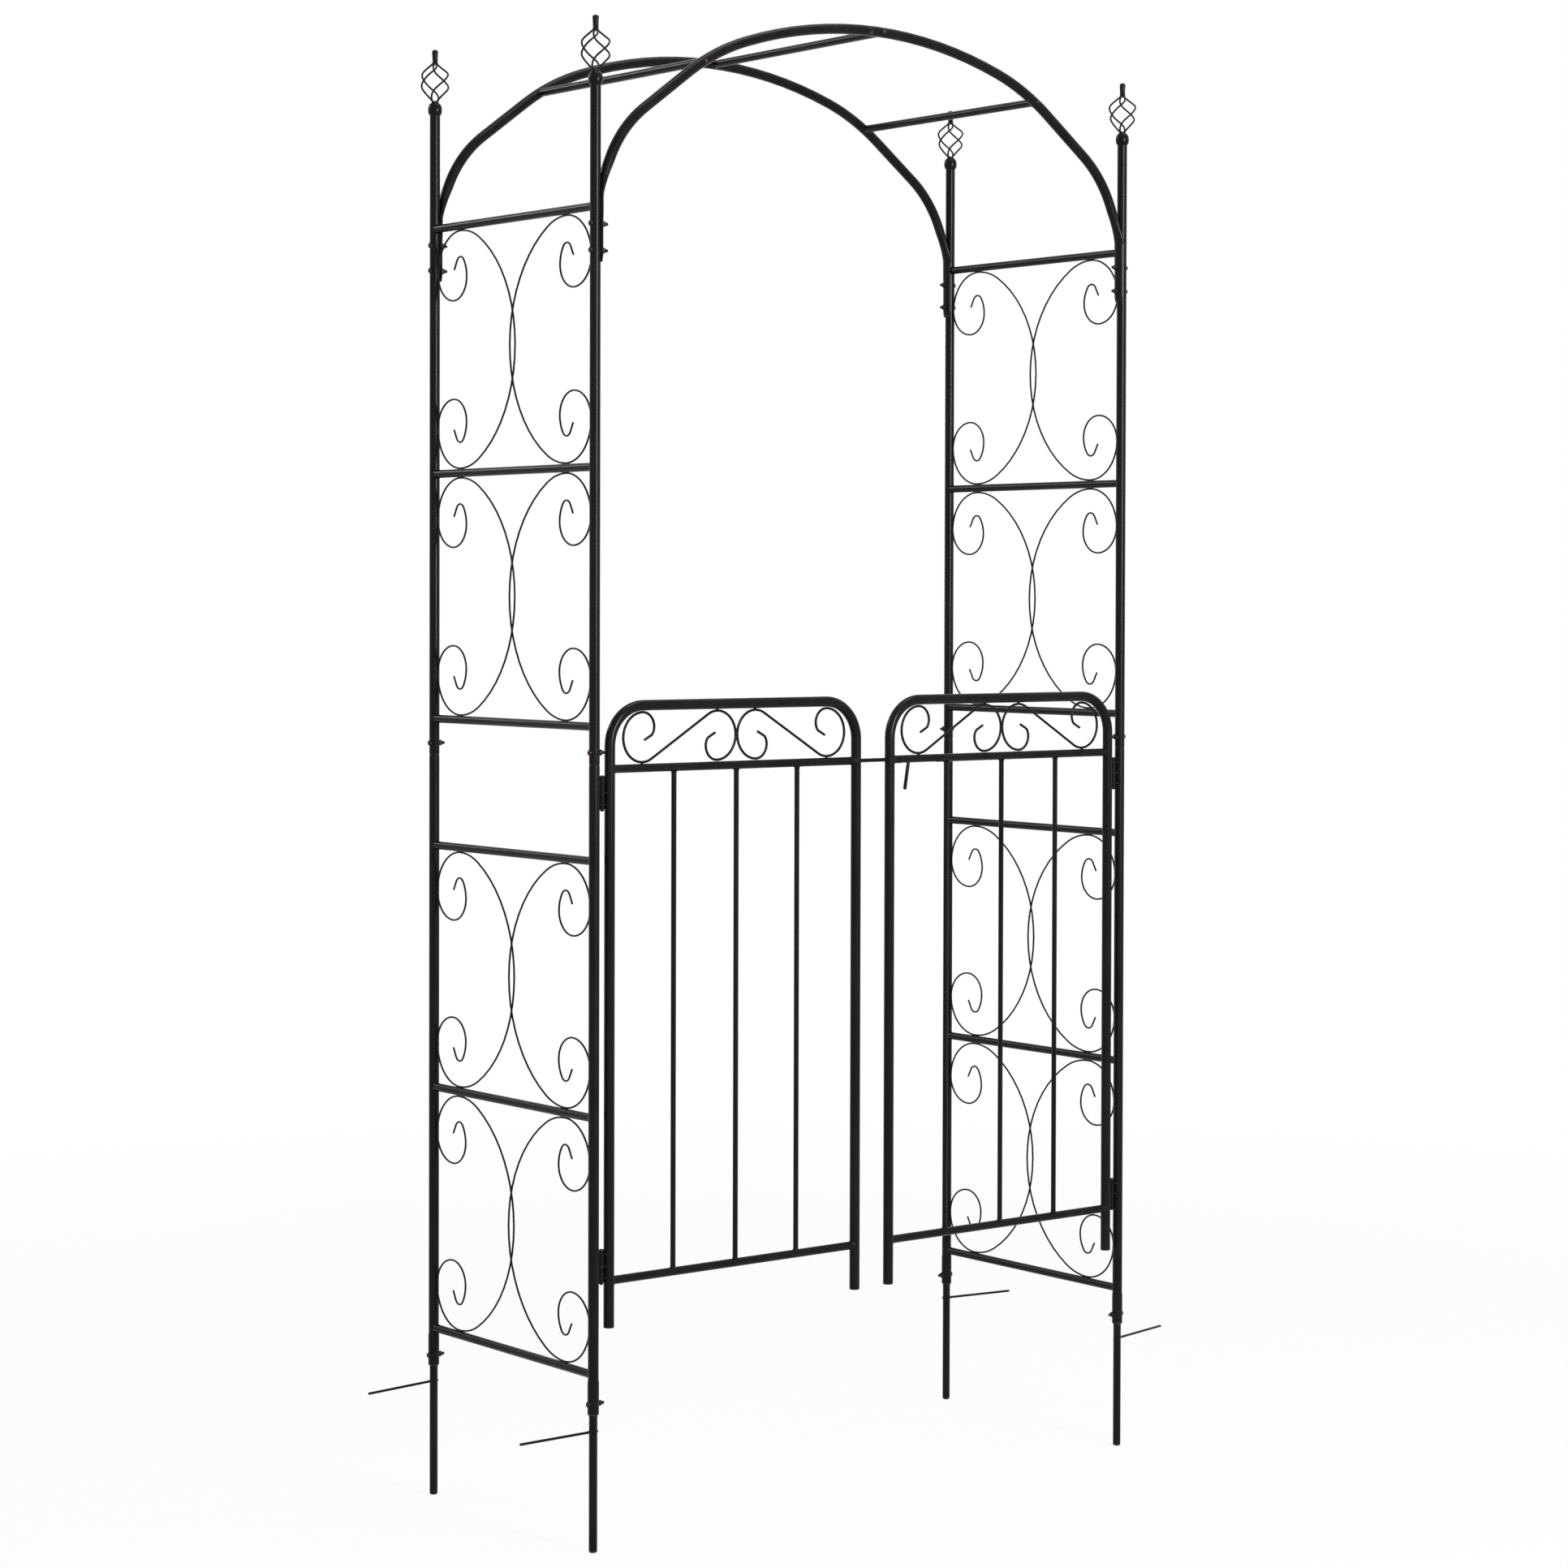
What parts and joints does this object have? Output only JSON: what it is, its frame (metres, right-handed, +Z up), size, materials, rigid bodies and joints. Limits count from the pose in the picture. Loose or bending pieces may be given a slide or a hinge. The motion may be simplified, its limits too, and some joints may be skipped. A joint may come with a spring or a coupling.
{
  "type": "garden arch with gates",
  "caption": "Walk-through metal trellis arch with scrollwork side panels, a double arched top, basket finials, ground stakes and a pair of swinging gates with a slide bolt.",
  "frame": {"origin": "midway between the posts, level with the tips of the ground stakes", "axes": "+X to the right across the walkway as seen from the gates, +Y through the arch from the gates to the back, +Z up"},
  "size_m": [1.3224, 0.4844, 2.301],
  "materials": {
    "black_coat": "satin black powder coat on steel tube and wire",
    "dark_zinc": "dark bronze-toned zinc on the bolts and nuts"
  },
  "bodies": {
    "frame": {"ground_stake_front_left": "black_coat", "lower_post_front_left": "black_coat", "upper_post_front_left": "black_coat", "finial_front_left": "black_coat", "foot_bolt_front_left": "dark_zinc", "mid_bolt_front_left": "dark_zinc", "arch_bolt_upper_front_left": "dark_zinc", "arch_bolt_lower_front_left": "dark_zinc", "ground_stake_front_right": "black_coat", "lower_post_front_right": "black_coat", "upper_post_front_right": "black_coat", "finial_front_right": "black_coat", "foot_bolt_front_right": "dark_zinc", "mid_bolt_front_right": "dark_zinc", "arch_bolt_upper_front_right": "dark_zinc", "arch_bolt_lower_front_right": "dark_zinc", "ground_stake_back_left": "black_coat", "lower_post_back_left": "black_coat", "upper_post_back_left": "black_coat", "finial_back_left": "black_coat", "foot_bolt_back_left": "dark_zinc", "mid_bolt_back_left": "dark_zinc", "arch_bolt_upper_back_left": "dark_zinc", "arch_bolt_lower_back_left": "dark_zinc", "ground_stake_back_right": "black_coat", "lower_post_back_right": "black_coat", "upper_post_back_right": "black_coat", "finial_back_right": "black_coat", "foot_bolt_back_right": "dark_zinc", "mid_bolt_back_right": "dark_zinc", "arch_bolt_upper_back_right": "dark_zinc", "arch_bolt_lower_back_right": "dark_zinc", "arch_tube_front_left": "black_coat", "arch_tube_front_right": "black_coat", "arch_tube_back_left": "black_coat", "arch_tube_back_right": "black_coat", "crossbar_left": "black_coat", "crossbar_middle": "black_coat", "crossbar_right": "black_coat", "trellis_panel_lower_left": "black_coat", "trellis_panel_upper_left": "black_coat", "trellis_panel_lower_right": "black_coat", "trellis_panel_upper_right": "black_coat", "hinge_post_leaf_upper_left": "black_coat", "hinge_post_leaf_lower_left": "black_coat", "hinge_post_leaf_upper_right": "black_coat", "hinge_post_leaf_lower_right": "black_coat"},
    "left_gate": {"gate_frame_left": "black_coat", "gate_mid_rail_left": "black_coat", "gate_grille_left": "black_coat", "gate_scrolls_left": "black_coat", "hinge_gate_leaf_upper_left": "black_coat", "hinge_gate_leaf_lower_left": "black_coat"},
    "right_gate": {"gate_frame_right": "black_coat", "gate_mid_rail_right": "black_coat", "gate_grille_right": "black_coat", "gate_scrolls_right": "black_coat", "hinge_gate_leaf_upper_right": "black_coat", "hinge_gate_leaf_lower_right": "black_coat"},
    "slide_bolt": {"latch_bolt": "black_coat"}
  },
  "joints": [
    {"name": "left_gate_hinge", "type": "hinge", "parent": "frame", "child": "left_gate", "pos_m": [-0.5181, -0.217, 0.8], "axis": [0, 0, -1], "range_deg": [-80, 90]},
    {"name": "right_gate_hinge", "type": "hinge", "parent": "frame", "child": "right_gate", "pos_m": [0.5181, -0.217, 0.8], "axis": [0, 0, 1], "range_deg": [-80, 90]},
    {"name": "bolt_slide", "type": "slide", "parent": "right_gate", "child": "slide_bolt", "axis": [-1, 0, 0], "range_m": [-0.055, 0.012]}
  ]
}
